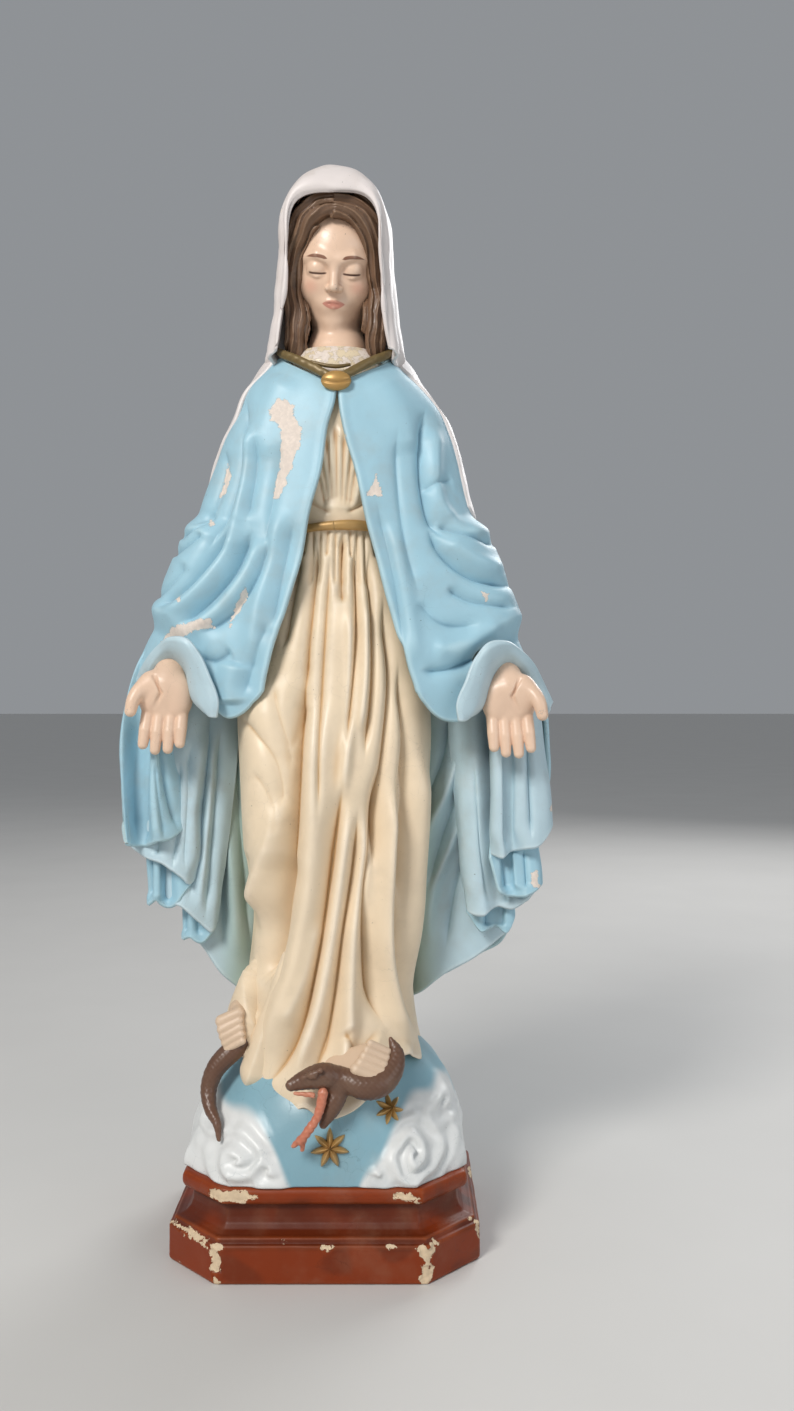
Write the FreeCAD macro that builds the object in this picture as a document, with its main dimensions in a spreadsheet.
"""A painted plaster figure of a veiled woman standing on a globe, as a parametric assembly.

Frame: millimetres, +Z up, -Y is the front of the figure, +X is the viewer's right.
The origin is the centre of the plinth's underside.  Left and right are the viewer's.
The driving dimensions live in the spreadsheet "Sizes"; every solid is worked out from them.
"""
import FreeCAD, Part
import math
import os
from FreeCAD import Placement, Rotation, Vector

DOC = FreeCAD.newDocument("Figure")
SHEET = DOC.addObject("Spreadsheet::Sheet", "Sizes")

# alias, value in millimetres (degrees for the angles), what it is
SIZES = [
    ("plinth_width", 164, "width of the octagonal block"),
    ("plinth_depth", 154, "depth of the octagonal block"),
    ("plinth_corner", 28, "length cut off each corner of the octagon"),
    ("block_height", 20, "height of the plain block"),
    ("step_height", 3.5, "height of the small step over the block"),
    ("step_inset", 2.5, "how far the step stands back"),
    ("cove_height", 14.5, "height of the hollow moulding"),
    ("neck_inset", 12, "how far the hollow moulding's neck stands back"),
    ("rim_height", 8, "height of the top rim"),
    ("rim_inset", 6.5, "how far the rim stands back"),
    ("cast_wall", 10, "wall of the hollow plaster casting"),
    ("globe_half_width", 73, "globe, half width"),
    ("globe_half_depth", 69, "globe, half depth"),
    ("globe_rise", 74, "globe, height over the plinth"),
    ("globe_wall", 8, "wall of the globe"),
    ("cloud_raise", 3, "how far the clouds stand out of the globe"),
    ("cloud_size", 30, "radius of a cloud bank"),
    ("star_size", 8.5, "radius of a star to its points"),
    ("star_waist", 3.6, "radius of a star between its points"),
    ("star_thick", 2.4, "thickness of a star"),
    ("figure_shift", 4, "the figure's axis, to the viewer's right of the plinth's"),
    ("hem_height", 80, "lowest point of the gown"),
    ("shin_height", 125, "gown section at the shins"),
    ("knee_height", 200, "gown section at the knees"),
    ("thigh_height", 290, "gown section at the thighs"),
    ("hip_height", 345, "gown section at the hips"),
    ("waist_height", 388, "underside of the girdle"),
    ("girdle_width", 8, "height of the girdle band"),
    ("girdle_proud", 1.8, "how far the girdle stands out of the gown"),
    ("bust_height", 432, "bodice section at the bust"),
    ("yoke_height", 462, "bodice section at the yoke"),
    ("collar_height", 486, "top of the bodice"),
    ("mantle_hem", 114, "lowest point of the mantle at the back"),
    ("lobe_height", 285, "lower end of the mantle's front lobes"),
    ("mantle_half_width", 125, "mantle, half width over the hands"),
    ("mantle_half_depth", 50, "mantle, half depth"),
    ("sheet_thick", 9, "thickness of the mantle's hanging sheet"),
    ("split_depth", 8, "the plane that parts the mantle's front from its back"),
    ("veil_hem", 372, "lower end of the veil down the back"),
    ("veil_thick", 5, "thickness of the veil"),
    ("total_height", 600, "top of the veil"),
    ("head_width", 52, "head, ear to ear"),
    ("head_depth", 64, "head, brow to back"),
    ("head_rise", 82, "head, chin to crown"),
    ("head_forward", 6, "how far the head's centre lies forward"),
    ("neck_radius", 15, "radius of the neck"),
    ("dowel_radius", 2.5, "radius of the iron dowel in each wrist"),
    ("dowel_length", 36, "length of the iron dowel in each wrist"),
    ("neck_dowel_radius", 5, "radius of the dowel under the head"),
    ("neck_dowel_length", 44, "length of the dowel under the head"),
    ("finger_radius", 3.1, "radius of a finger"),
    ("snake_radius", 5.6, "thickest radius of the serpent"),
    ("brooch_half_width", 7.6, "brooch, half width"),
    ("brooch_half_height", 5.2, "brooch, half height"),
]
FRONT_REACH = 160.0  # long enough to pass right through the figure


def fill_sheet():
    """Writes every driving dimension into the spreadsheet with its alias."""
    for row, (alias, value, note) in enumerate(SIZES, start=1):
        SHEET.set(f"A{row}", note)
        SHEET.set(f"B{row}", str(value))
        SHEET.setAlias(f"B{row}", alias)
    DOC.recompute()


def size(alias):
    """The present value of a driving dimension."""
    return float(SHEET.get(alias))


def bind(feature, **expressions):
    """Binds properties to expressions over the sheet's aliases; __ stands for a dot."""
    for name, text in expressions.items():
        feature.setExpression(name.replace("__", "."), with_sheet(text))
    return feature


def with_sheet(text):
    """Puts the sheet's name before each alias in an expression."""
    words = sorted((alias for alias, _, _ in SIZES), key=len, reverse=True)
    out, at = "", 0
    while at < len(text):
        word = next((w for w in words if text.startswith(w, at)), None)
        if word and not (at and (text[at - 1].isalnum() or text[at - 1] == "_")):
            out += "Sizes." + word
            at += len(word)
        else:
            out += text[at]
            at += 1
    return out


def place(feature, x=0.0, y=0.0, z=0.0, rotation=None):
    feature.Placement = Placement(Vector(x, y, z), rotation or Rotation())
    return feature


# ---------------------------------------------------------------- building blocks

def combine(kind, name, base, *tools):
    """Part::Cut, Part::Fuse or Part::Common of base with each tool in turn."""
    result = base
    for number, tool in enumerate(tools):
        step = DOC.addObject("Part::" + kind, f"{name}_{kind.lower()}{number}")
        step.Base = result
        step.Tool = tool
        result = step
    return result


def merged(name, pieces):
    feature = DOC.addObject("Part::MultiFuse", name)
    feature.Shapes = pieces
    return feature


def ellipse_loft(name, sections, extra=0.0, ruled=False):
    """A solid through horizontal ellipses: (height, centre x, centre y, half width, half depth)."""
    rings = []
    for number, (z, x, y, half_x, half_y) in enumerate(sections):
        half_x, half_y = half_x + extra, half_y + extra
        ring = DOC.addObject("Part::Ellipse", f"{name}_ring{number}")
        ring.MajorRadius = max(half_x, half_y)
        ring.MinorRadius = min(half_x, half_y)
        turn = Rotation() if half_x >= half_y else Rotation(Vector(0, 0, 1), 90)
        place(ring, x, y, z, turn)
        rings.append(ring)
    loft = DOC.addObject("Part::Loft", name)
    loft.Sections = rings
    loft.Solid = True
    loft.Ruled = ruled
    return loft


def ellipsoid(name, centre, half_x, half_y, half_z, upper_only=False, rotation=None):
    body = DOC.addObject("Part::Ellipsoid", name)
    body.Radius1, body.Radius2, body.Radius3 = half_z, half_x, half_y
    body.Angle1 = 0 if upper_only else -90
    return place(body, *centre, rotation)


def block(name, low, high):
    box = DOC.addObject("Part::Box", name)
    box.Length, box.Width, box.Height = (b - a for a, b in zip(low, high))
    return place(box, *low)


def rod(name, start, end, radius, end_radius=None):
    """A cylinder or cone between two points."""
    start, end = Vector(*start), Vector(*end)
    along = end - start
    if end_radius is None or abs(end_radius - radius) < 1e-6:
        body = DOC.addObject("Part::Cylinder", name)
        body.Radius = radius
    else:
        body = DOC.addObject("Part::Cone", name)
        body.Radius1, body.Radius2 = radius, end_radius
    body.Height = along.Length
    body.Placement = Placement(start, Rotation(Vector(0, 0, 1), along))
    return body


def finger(name, points, radius, tip_radius):
    """A tapering chain of cones with round knuckles and a round tip."""
    pieces = []
    count = len(points) - 1
    for number in range(count):
        near = radius + (tip_radius - radius) * number / count
        far = radius + (tip_radius - radius) * (number + 1) / count
        pieces.append(rod(f"{name}_bone{number}", points[number], points[number + 1], near, far))
        ball = DOC.addObject("Part::Sphere", f"{name}_ball{number}")
        ball.Radius = far
        pieces.append(place(ball, *points[number + 1]))
    return pieces


def tapered_tube(name, points, radii):
    """A round solid through points, with a radius at each, square to its own curve."""
    curve = Part.BSplineCurve()
    curve.interpolate([Vector(*p) for p in points])
    first, last = curve.FirstParameter, curve.LastParameter
    rings = []
    for number, radius in enumerate(radii):
        at = first + (last - first) * number / (len(radii) - 1)
        circle = Part.Circle(curve.value(at), Vector(*curve.tangent(at)[0]), radius)
        rings.append(Part.Wire([circle.toShape()]))
    feature = DOC.addObject("Part::Feature", name)
    feature.Shape = Part.makeLoft(rings, True, False)
    return feature


def plate(name, outline, low_y, high_y):
    """A flat plate between two depths, from an outline of (x, z) points."""
    wire = Part.makePolygon([Vector(x, low_y, z) for x, z in outline + outline[:1]])
    feature = DOC.addObject("Part::Feature", name)
    feature.Shape = Part.Face(wire).extrude(Vector(0, high_y - low_y, 0))
    return feature


# ---------------------------------------------------------------- plinth

def octagon_sketch(body, name, inset, height):
    """An octagon on the body's own ground plane, set back by inset and raised to height."""
    sketch = body.newObject("Sketcher::SketchObject", name)
    ground = next(f for f in body.Origin.OriginFeatures if f.Role == "XY_Plane")
    sketch.AttachmentSupport = [(ground, "")]
    sketch.MapMode = "FlatFace"
    bind(sketch, AttachmentOffset__Base__z=height)
    half_x = f"(plinth_width / 2 - ({inset}))"
    half_y = f"(plinth_depth / 2 - ({inset}))"
    # the cut corners keep their 45 degree faces parallel as the outline is set back
    short_x = f"(plinth_width / 2 - plinth_corner - ({inset}) * 0.4142)"
    short_y = f"(plinth_depth / 2 - plinth_corner - ({inset}) * 0.4142)"
    corners = [
        (half_x, short_y, 1, 1), (short_x, half_y, 1, 1), (short_x, half_y, -1, 1),
        (half_x, short_y, -1, 1), (half_x, short_y, -1, -1), (short_x, half_y, -1, -1),
        (short_x, half_y, 1, -1), (half_x, short_y, 1, -1),
    ]
    rough = 80.0
    spots = [Vector(rough * sx * (1 if a == half_x else 0.6), rough * sy * (0.6 if a == half_x else 1), 0)
             for a, _, sx, sy in corners]
    for number in range(8):
        sketch.addGeometry(Part.LineSegment(spots[number], spots[(number + 1) % 8]), False)
    import Sketcher
    for number in range(8):
        sketch.addConstraint(Sketcher.Constraint("Coincident", number, 2, (number + 1) % 8, 1))
    for number, (along_x, along_y, sign_x, sign_y) in enumerate(corners):
        for axis, text, sign in (("DistanceX", along_x, sign_x), ("DistanceY", along_y, sign_y)):
            ends = (-1, 1, number, 1) if sign > 0 else (number, 1, -1, 1)
            index = sketch.addConstraint(Sketcher.Constraint(axis, *ends, rough))
            label = f"{axis.lower()}{number}"
            sketch.renameConstraint(index, label)
            sketch.setExpression("Constraints." + label, with_sheet(text))
    return sketch


def build_plinth():
    """Octagonal moulded plinth, cast solid: block, step, hollow moulding and rim."""
    body = DOC.addObject("PartDesign::Body", "Plinth")

    def pad(name, inset, height, length):
        feature = body.newObject("PartDesign::Pad", name)
        feature.Profile = octagon_sketch(body, name + "_outline", inset, height)
        bind(feature, Length=length)
        DOC.recompute()
        return feature

    pad("Block", "0", "0", "block_height")
    pad("Step", "step_inset", "block_height", "step_height")
    rings = []
    steps = 4
    for number in range(steps + 1):
        turn = math.pi / 2 * number / steps
        inset = f"step_inset + 1 + (neck_inset - step_inset - 1) * {math.sin(turn):.5f}"
        height = f"block_height + step_height + cove_height * {1 - math.cos(turn):.5f}"
        rings.append(octagon_sketch(body, f"Cove_ring{number}", inset, height))
    cove = body.newObject("PartDesign::AdditiveLoft", "Cove")
    cove.Profile = rings[0]
    cove.Sections = rings[1:]
    cove.Ruled = True
    DOC.recompute()
    pad("Rim", "rim_inset", "block_height + step_height + cove_height", "rim_height")
    body.Label = "plinth"
    DOC.recompute()
    return body


def plinth_top():
    return sum(size(a) for a in ("block_height", "step_height", "cove_height", "rim_height"))


# ---------------------------------------------------------------- globe, clouds, stars

def globe_dome(name, grow):
    """The globe's upper half as a solid, grown by some millimetres."""
    dome = DOC.addObject("Part::Ellipsoid", name)
    dome.Angle1 = 0
    bind(
        dome,
        Radius1=f"globe_rise + {grow}",
        Radius2=f"globe_half_width + {grow}",
        Radius3=f"globe_half_depth + {grow}",
        Placement__Base__z="block_height + step_height + cove_height + rim_height",
    )
    return dome


def globe_depth(x, z, grow=0.0):
    """The front surface's y on the globe at x and z."""
    rise = (z - plinth_top()) / (size("globe_rise") + grow)
    side = x / (size("globe_half_width") + grow)
    return -(size("globe_half_depth") + grow) * math.sqrt(max(0.0, 1 - rise * rise - side * side))


def build_globe():
    return combine("Cut", "Globe", globe_dome("Globe_outside", "0"), globe_dome("Globe_inside", "(-globe_wall)"))


def build_cloud(name, x, z):
    """A raised bank on the globe's front, cut from a shell just over its surface."""
    ball = DOC.addObject("Part::Sphere", name + "_ball")
    bind(ball, Radius="cloud_size")
    place(ball, x, globe_depth(x, z), z)
    raised = combine("Common", name, globe_dome(name + "_shell", "cloud_raise"), ball)
    return combine("Cut", name, raised, globe_dome(name + "_seat", "0"))


def build_star(name, x, z):
    """A six-pointed star lying flat against the globe."""
    y = globe_depth(x, z)
    points = []
    for number in range(12):
        reach = size("star_size") if number % 2 == 0 else size("star_waist")
        turn = math.pi * number / 6
        points.append(Vector(reach * math.sin(turn), reach * math.cos(turn), 0))
    outline = Part.makePolygon(points + points[:1])
    feature = DOC.addObject("Part::Feature", name)
    feature.Shape = Part.Face(outline).extrude(Vector(0, 0, size("star_thick")))
    outward = Vector(
        x / size("globe_half_width") ** 2,
        y / size("globe_half_depth") ** 2,
        (z - plinth_top()) / size("globe_rise") ** 2,
    )
    feature.Placement = Placement(Vector(x, y, z), Rotation(Vector(0, 0, 1), outward))
    return feature


# ---------------------------------------------------------------- gown and mantle

def gown_sections():
    x = size("figure_shift")
    return [
        (size("hem_height"), x - 4, -8, 56, 53),
        (size("shin_height"), x - 5, -6, 48, 44),
        (size("knee_height"), x - 1, -2, 49, 41),
        (size("thigh_height"), x, 0, 52, 40),
        (size("hip_height"), x, 0, 45, 34),
        (size("waist_height"), x, 0, 31, 25),
    ]


def bodice_sections():
    x = size("figure_shift")
    return [
        (size("waist_height") + size("girdle_width"), x, 0, 31, 25),
        (size("bust_height"), x, -2, 40, 31),
        (size("yoke_height"), x, 1, 40, 27),
        (size("collar_height"), x, 3, 26, 19),
    ]


def girdle_sections(extra):
    x = size("figure_shift")
    low = size("waist_height")
    return [(low, x, 0, 31 + extra, 25 + extra), (low + size("girdle_width"), x, 0, 31 + extra, 25 + extra)]


def mantle_sections():
    """The mantle's outer form, from its hem at the back to the neck."""
    x = size("figure_shift")
    wide, deep = size("mantle_half_width"), size("mantle_half_depth")
    return [
        (size("mantle_hem"), x - 7, 4, 50, deep - 6),
        (size("mantle_hem") + 36, x + 1, 2, wide - 32, deep - 3),
        (210, x - 1, 0, wide, deep),
        (size("lobe_height"), x - 1, 0, wide - 1, deep),
        (315, x - 1, 0, wide - 9, deep - 2),
        (345, x - 1, 0, wide - 25, deep - 4),
        (400, x + 2, 1, wide - 45, deep - 7),
        (445, x + 2, 2, wide - 60, deep - 12),
        (476, x + 1, 3, wide - 73, deep - 20),
        (492, x, 4, 27, 22),
    ]


def room_sections():
    """The room under the mantle's hanging sheet, from below its hem up to the lobes."""
    kept = [s for s in mantle_sections() if s[0] <= size("lobe_height")]
    below = (size("mantle_hem") - 10, *kept[0][1:])
    return [below] + kept


def side_block(name, side, low_z, high_z, low_y, high_y):
    """Everything on one side of the figure's axis, between two heights and two depths."""
    x = size("figure_shift")
    if side < 0:
        return block(name, (-FRONT_REACH, low_y, low_z), (x, high_y, high_z))
    return block(name, (x, low_y, low_z), (FRONT_REACH, high_y, high_z))


LEFT_OPENING = [(4, 466), (-9, 416), (-15, 372), (-27, 328), (-37, 300), (-49, 286)]
RIGHT_OPENING = [(4, 466), (13, 422), (24, 380), (34, 350), (42, 320), (54, 296), (65, 284)]


def opening_block(name):
    """The gap between the mantle's two front edges, from the brooch down."""
    below = size("mantle_hem") - 20
    outline = LEFT_OPENING + [(-49, below), (65, below)] + RIGHT_OPENING[:0:-1]
    return plate(name, outline, -FRONT_REACH, size("split_depth"))


def build_mantle(solids):
    """Back sheet and two front halves; each gives way to the pieces that lie under or in it."""
    split = size("split_depth")
    low = size("mantle_hem") - 10
    outer = ellipse_loft("Mantle_form", mantle_sections(), ruled=True)
    inner = ellipse_loft("Mantle_inside", room_sections(), extra=-size("sheet_thick"), ruled=True)
    behind = block("Mantle_behind", (-FRONT_REACH, split, low), (FRONT_REACH, FRONT_REACH, 500))
    back = combine("Common", "Mantle_back", outer, behind)
    back = combine("Cut", "Mantle_back", back, inner, *solids["under_back"])
    fronts = []
    for side, name in ((-1, "Mantle_left"), (1, "Mantle_right")):
        region = side_block(name + "_region", side, size("lobe_height"), 500, -FRONT_REACH, split)
        half = combine("Common", name, outer, region)
        half = combine("Cut", name, half, opening_block(name + "_gap"), *solids["under_front"])
        fronts.append(combine("Cut", name + "_fit", half, *solids["in_" + name.lower()]))
    return back, fronts


LEFT_DRAPE = [
    (-62, 296), (-112, 296), (-124, 268), (-123, 212), (-108, 208), (-107, 180),
    (-92, 176), (-89, 152), (-74, 150), (-60, 126), (-56, 180),
]
RIGHT_DRAPE = [
    (70, 296), (118, 296), (129, 268), (129, 224), (120, 218), (118, 186),
    (104, 180), (102, 164), (88, 150), (72, 136), (62, 180),
]


def build_drape(name, outline):
    """The folded fall of the mantle under a forearm."""
    return plate(name, outline, -18.0, size("split_depth") - 0.2)


# ---------------------------------------------------------------- hands and cuffs

LEFT_WRIST, LEFT_ELBOW = (-84.0, -25.0, 316.0), (-76.0, -4.0, 354.0)
RIGHT_WRIST, RIGHT_ELBOW = (98.0, -25.0, 314.0), (87.0, -4.0, 352.0)


def between(start, end, distance):
    start, end = Vector(*start), Vector(*end)
    return tuple(start + (end - start).normalize() * distance)


def build_cuff(name, wrist, elbow):
    """A flaring cuff round the wrist, hollow for the hand."""
    mouth, root = between(wrist, elbow, -8.0), between(wrist, elbow, 10.0)
    outside = rod(name + "_outside", mouth, root, 18.0, 12.0)
    inside = rod(name + "_inside", between(wrist, elbow, -8.5), between(wrist, elbow, 7.0), 15.0, 8.0)
    return outside, combine("Cut", name, outside, inside)


def build_hand(name, wrist, side, dowel):
    """An open hand, palm forward and fingers down; side is -1 for the viewer's left."""
    x, y, z = wrist
    radius = size("finger_radius")
    palm = ellipsoid(
        name + "_palm", (x - 2 * side, y - 9, z - 22), 12.5, 6.0, 16.0,
        rotation=Rotation(Vector(1, 0, 0), -14),
    )
    wrist_stub = rod(name + "_wrist", (x, y - 1, z + 4), (x - side, y - 7, z - 14), 6.5, 7.5)
    pieces = [palm, wrist_stub]
    for number in range(4):
        spread = (number - 1.5) * 5.6
        reach = (13.5, 17.5, 18.0, 15.0)[number]
        root = (x + spread - 2 * side, y - 12, z - 34)
        middle = (x + spread * 1.1 - 2 * side, y - 15, z - 34 - reach * 0.6)
        tip = (x + spread * 1.12 - 2 * side, y - 15, z - 34 - reach)
        pieces += finger(f"{name}_finger{number}", [root, middle, tip], radius, radius * 0.82)
    thumb = [(x + 7 * side, y - 11, z - 14), (x + 14 * side, y - 14, z - 22), (x + 17.5 * side, y - 15, z - 29)]
    pieces += finger(name + "_thumb", thumb, radius * 1.15, radius * 0.85)
    return combine("Cut", name, merged(name + "_form", pieces), dowel)


def build_dowel(name, wrist, elbow):
    """The iron dowel that carries a hand in its sleeve."""
    half = size("dowel_length") / 2
    return rod(name, between(wrist, elbow, -half + 14), between(wrist, elbow, half + 14), size("dowel_radius"))


# ---------------------------------------------------------------- head, hair and veil

def head_centre():
    return (
        size("figure_shift"),
        -size("head_forward"),
        size("total_height") - size("veil_thick") - 4 - size("head_rise") / 2,
    )


def head_form(name, grow):
    return ellipsoid(
        name, head_centre(),
        size("head_width") / 2 + grow, size("head_depth") / 2 + grow, size("head_rise") / 2 + grow,
    )


def build_head(dowel):
    """Head and neck in one casting, with a socket for its dowel."""
    x, y, z = head_centre()
    bottom = size("collar_height")
    neck = rod("Neck", (x, y + 8, bottom), (x, y + 2, z - 20), size("neck_radius"), size("neck_radius") - 2)
    whole = merged("Head_form", [head_form("Skull", 0.0), neck])
    return combine("Cut", "Head", whole, dowel)


def face_gap(name, half_width, top):
    """The arched opening that leaves the face clear."""
    x, y, z = head_centre()
    arch = rod(name + "_arch", (x, y - 60, top - half_width), (x, y - 4, top - half_width), half_width)
    below = block(name + "_below", (x - half_width, y - 60, 440), (x + half_width, y - 4, top - half_width))
    return merged(name, [arch, below])


def build_hair(head):
    """A cap of hair over the brow, and a lock down each side of the neck."""
    x, y, z = head_centre()
    cap = combine("Cut", "Hair_cap", head_form("Hair_form", 3.0), head, face_gap("Brow", 20.0, z + 27))
    above = block("Hair_above", (x - 60, y - 60, z - 8), (x + 60, y + 60, z + 60))
    cap = combine("Common", "Hair_cap_top", cap, above)
    locks = []
    for side, name in ((-1, "Hair_left"), (1, "Hair_right")):
        lock = tapered_tube(
            name,
            [(x + 26 * side, y - 2, z - 9), (x + 24 * side, y - 3, z - 26), (x + 20 * side, y - 1, z - 44),
             (x + 22 * side, y + 2, z - 58)],
            [4.0, 6.0, 5.5, 4.5, 2.5],
        )
        locks.append(combine("Cut", name + "_fit", lock, head))
    return cap, locks


def hood_form(name, thinner):
    """The veil's outer form, or its inside: a dome over the head and a skirt down to the shoulders."""
    x, y, z = head_centre()
    middle = (x + 1, y + 6, z)
    across, deep = 35.0 - thinner, 41.0 - thinner
    dome = ellipsoid(name + "_dome", middle, across, deep, size("total_height") - z - thinner, upper_only=True)
    low = size("collar_height") - 6
    sections = [
        (low, x + 1, 4, across + 2, deep - 10),
        ((low + z) / 2, x + 1, 2, across + 2, deep - 6),
        (z, *middle[:2], across, deep),
    ]
    # the rings keep their long side along X, so their starting points stay in line
    turned = [(h, cx, cy, max(half_x, half_y), half_y) for h, cx, cy, half_x, half_y in sections]
    skirt = ellipse_loft(name + "_skirt", turned[:-1] + [(z, *middle[:2], deep, deep)], ruled=True)
    trim = ellipsoid(name + "_trim", middle, across + 2, deep + 2, 400.0)
    return merged(name, [dome, combine("Common", name + "_sides", skirt, trim)])


def build_hood(inner_pieces):
    """The part of the veil that frames the head and lies on the shoulders, open in front."""
    x, y, z = head_centre()
    shell = combine("Cut", "Hood", hood_form("Hood_outside", 0.0), hood_form("Hood_inside", size("veil_thick")))
    return combine("Cut", "Hood_fit", shell, face_gap("Hood_gap", 25.5, z + 34), *inner_pieces)


def build_fall(hood_outside, others):
    """The part of the veil that lies over the back of the mantle."""
    x, y, z = head_centre()
    low = size("veil_hem")
    covered = [s for s in mantle_sections() if s[0] > low]
    below = (low, size("figure_shift") + 1, 0, size("mantle_half_width") - 35, size("mantle_half_depth") - 5.5)
    shell = ellipse_loft("Fall_form", [below] + covered, extra=size("veil_thick"), ruled=True)
    region = block("Fall_region", (-FRONT_REACH, size("split_depth") + 6, low), (FRONT_REACH, 90, 492))
    return combine("Cut", "Fall", combine("Common", "Fall_back", shell, region), hood_outside, *others)


def build_brooch():
    brooch = DOC.addObject("Part::Ellipsoid", "Brooch")
    brooch.Angle1 = -90
    bind(
        brooch,
        Radius1="brooch_half_height",
        Radius2="brooch_half_width",
        Radius3="4",
        Placement__Base__x="figure_shift",
        Placement__Base__y="-31",
        Placement__Base__z="468",
    )
    return brooch


def build_neck_trim(name, side, brooch):
    """Half of the braid along the mantle's neckline, from the brooch up to the shoulder."""
    x = size("figure_shift")
    braid = tapered_tube(
        name,
        [(x + 4 * side, -31, 469), (x + 13 * side, -27, 476), (x + 22 * side, -19, 484), (x + 25 * side, -10, 489)],
        [1.8, 2.0, 2.0, 2.0, 1.6],
    )
    return combine("Cut", name + "_fit", braid, brooch)


# ---------------------------------------------------------------- feet and serpent

def build_foot(name, heel, toe, seat):
    """A bare foot with five toes in a row across its end."""
    heel_v, toe_v = Vector(*heel), Vector(*toe)
    along = (toe_v - heel_v).normalize()
    across = along.cross(Vector(0, 0, 1)).normalize()
    pieces = [rod(name + "_instep", heel, toe, 9.5, 8.0)]
    for number in range(5):
        middle = toe_v + across * (number - 2) * 3.6
        start, end = middle - along * 7, middle + along * (5.5 - 0.6 * abs(number - 1))
        pieces.append(rod(f"{name}_toe{number}", tuple(start), tuple(end), 1.7))
    return combine("Cut", name, merged(name + "_form", pieces), *seat)


def build_serpent(seat):
    """The serpent under the foot: coil, open-jawed head, tongue, and the tail down the globe."""
    thick = size("snake_radius")
    body = tapered_tube(
        "Serpent_body",
        [(8, -65, 97), (20, -69, 90), (34, -63, 91), (38, -57, 101), (34, -53, 112)],
        [thick * 0.8, thick, thick * 0.95, thick * 0.7, 1.2],
    )
    jaws = [((7, -67, 98), (-14, -70, 101), 5.4, 2.8), ((6, -68.5, 95), (-1, -72, 81), 4.4, 2.2)]
    pieces = []
    for number, (nape, tip, thick_end, thin_end) in enumerate(jaws):
        pieces.append(rod(f"Jaw{number}", nape, tip, thick_end, thin_end))
        for ball_number, (spot, radius) in enumerate(((nape, thick_end), (tip, thin_end))):
            ball = DOC.addObject("Part::Sphere", f"Jaw{number}_ball{ball_number}")
            ball.Radius = radius
            pieces.append(place(ball, *spot))
    head = merged("Serpent_head_form", pieces)
    tongue = tapered_tube(
        "Serpent_tongue",
        [(1, -73, 93), (-3, -75, 84), (-8, -73, 75), (-11, -70.5, 69)],
        [1.4, 1.6, 1.4, 1.0],
    )
    tail = tapered_tube(
        "Serpent_tail",
        [(-61, -30, 100), (-66, -28, 90), (-69, -27, 78), (-67, -36, 64)],
        [3.5, thick * 0.85, thick * 0.8, 3.4, 1.6],
    )
    head = combine("Cut", "Serpent_head", head, *seat)
    body = combine("Cut", "Serpent_coil", body, head, *seat)
    tongue = combine("Cut", "Serpent_tongue_fit", tongue, head, *seat)
    tail = combine("Cut", "Serpent_tail_fit", tail, *seat)
    return body, head, tongue, tail


# ---------------------------------------------------------------- assembly

def label(feature, name):
    feature.Label = name
    NODES[name] = feature


NODES = {}


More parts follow.
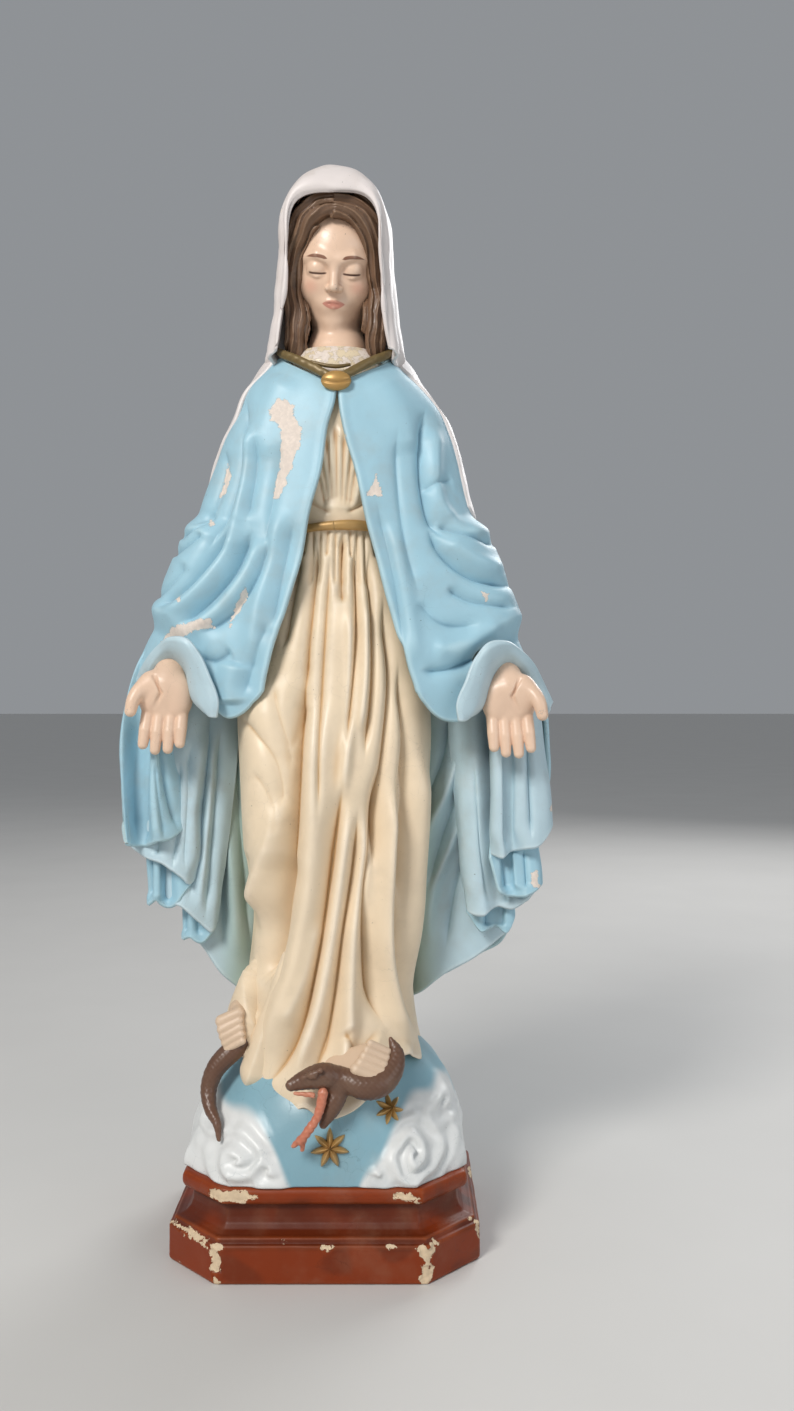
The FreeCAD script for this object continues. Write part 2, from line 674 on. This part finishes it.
def build():
    fill_sheet()
    label(build_plinth(), "plinth")
    label(build_globe(), "globe")
    globe_solid = globe_dome("Globe_seat", "0")
    left_cloud = build_cloud("Left_cloud", -44, 60)
    right_cloud = build_cloud("Right_cloud", 47, 57)
    label(left_cloud, "left_cloud")
    label(right_cloud, "right_cloud")
    label(build_star("Star_low", 4, 62), "star_low")
    label(build_star("Star_high", 36, 83), "star_high")

    coil, serpent_head, tongue, tail = build_serpent([globe_solid, left_cloud])
    label(coil, "serpent_body")
    label(serpent_head, "serpent_head")
    label(tongue, "serpent_tongue")
    label(tail, "serpent_tail")
    right_foot = build_foot("Right_foot", (16, -30, 112), (24, -56, 106), [globe_solid, coil, serpent_head])
    left_foot = build_foot("Left_foot", (-38, -16, 116), (-52, -28, 106), [globe_solid, tail])
    label(right_foot, "right_foot")
    label(left_foot, "left_foot")

    core = ellipse_loft(
        "Core", gown_sections() + bodice_sections()[1:3], extra=-size("cast_wall")
    )
    gown_form = ellipse_loft("Gown_form", gown_sections())
    bodice_form = ellipse_loft("Bodice_form", bodice_sections())
    girdle_form = ellipse_loft("Girdle_form", girdle_sections(size("girdle_proud")), ruled=True)
    neck_dowel = rod(
        "Neck_dowel",
        (size("figure_shift"), 0, size("yoke_height")),
        (size("figure_shift"), 0, size("yoke_height") + size("neck_dowel_length")),
        size("neck_dowel_radius"),
    )
    gown = combine("Cut", "Gown", gown_form, core, globe_solid, right_foot, left_foot, coil, serpent_head, tail)
    bodice = combine("Cut", "Bodice", bodice_form, core, neck_dowel)
    girdle = combine("Cut", "Girdle", girdle_form, core)
    label(gown, "gown_skirt")
    label(bodice, "gown_bodice")
    label(girdle, "girdle")
    label(neck_dowel, "neck_dowel")

    head = build_head(neck_dowel)
    cap, locks = build_hair(head)
    hood = build_hood([head, cap, *locks])
    brooch = build_brooch()
    trims = [build_neck_trim("Trim_left", -1, brooch), build_neck_trim("Trim_right", 1, brooch)]
    label(head, "head")
    label(cap, "hair_cap")
    label(locks[0], "hair_left")
    label(locks[1], "hair_right")
    label(hood, "veil_hood")
    label(brooch, "brooch")
    label(trims[0], "neckline_left")
    label(trims[1], "neckline_right")

    hands = []
    in_fronts = {}
    for side, name, wrist, elbow in (
        (-1, "Left", LEFT_WRIST, LEFT_ELBOW), (1, "Right", RIGHT_WRIST, RIGHT_ELBOW)
    ):
        dowel = build_dowel(name + "_hand_dowel", wrist, elbow)
        hand = build_hand(name + "_hand", wrist, side, dowel)
        cuff_outside, cuff = build_cuff(name + "_cuff", wrist, elbow)
        cuff = combine("Cut", name + "_cuff_fit", cuff, hand, dowel)
        lower = name.lower()
        label(dowel, lower + "_hand_dowel")
        label(hand, lower + "_hand")
        label(cuff, lower + "_cuff")
        hands.append(hand)
        in_fronts["in_mantle_" + lower] = [cuff_outside, dowel, hand]

    under = [gown_form, bodice_form, girdle_form, head]
    solids = {
        "under_back": under + [hood],
        "under_front": under + [brooch, *trims, *locks, hood],
        **in_fronts,
    }
    back, fronts = build_mantle(solids)
    label(back, "mantle_back")
    label(fronts[0], "mantle_left")
    label(fronts[1], "mantle_right")
    label(combine("Cut", "Left_fall", build_drape("Left_drape", LEFT_DRAPE), gown_form, fronts[0], hands[0]), "left_drape")
    label(combine("Cut", "Right_fall", build_drape("Right_drape", RIGHT_DRAPE), gown_form, fronts[1], hands[1]), "right_drape")
    mantle_solid = DOC.getObject("Mantle_form")
    label(build_fall(DOC.getObject("Hood_outside"), [mantle_solid, head, bodice_form]), "veil_fall")
    DOC.recompute()


def check_and_write():
    failed = [o.Name for o in DOC.Objects if "Invalid" in o.State or "Error" in o.State]
    if failed:
        raise RuntimeError(f"these features failed: {failed}")
    os.makedirs("parts", exist_ok=True)
    for name, feature in NODES.items():
        shape = feature.Shape
        if shape.isNull() or not shape.isValid() or not shape.Solids:
            raise RuntimeError(f"{name} has no valid solid")
        shape.exportStep(f"parts/{name}.step")
        print(f"{name}: {len(shape.Solids)} solid(s), {shape.Volume / 1000:.2f} cm3")


build()
check_and_write()
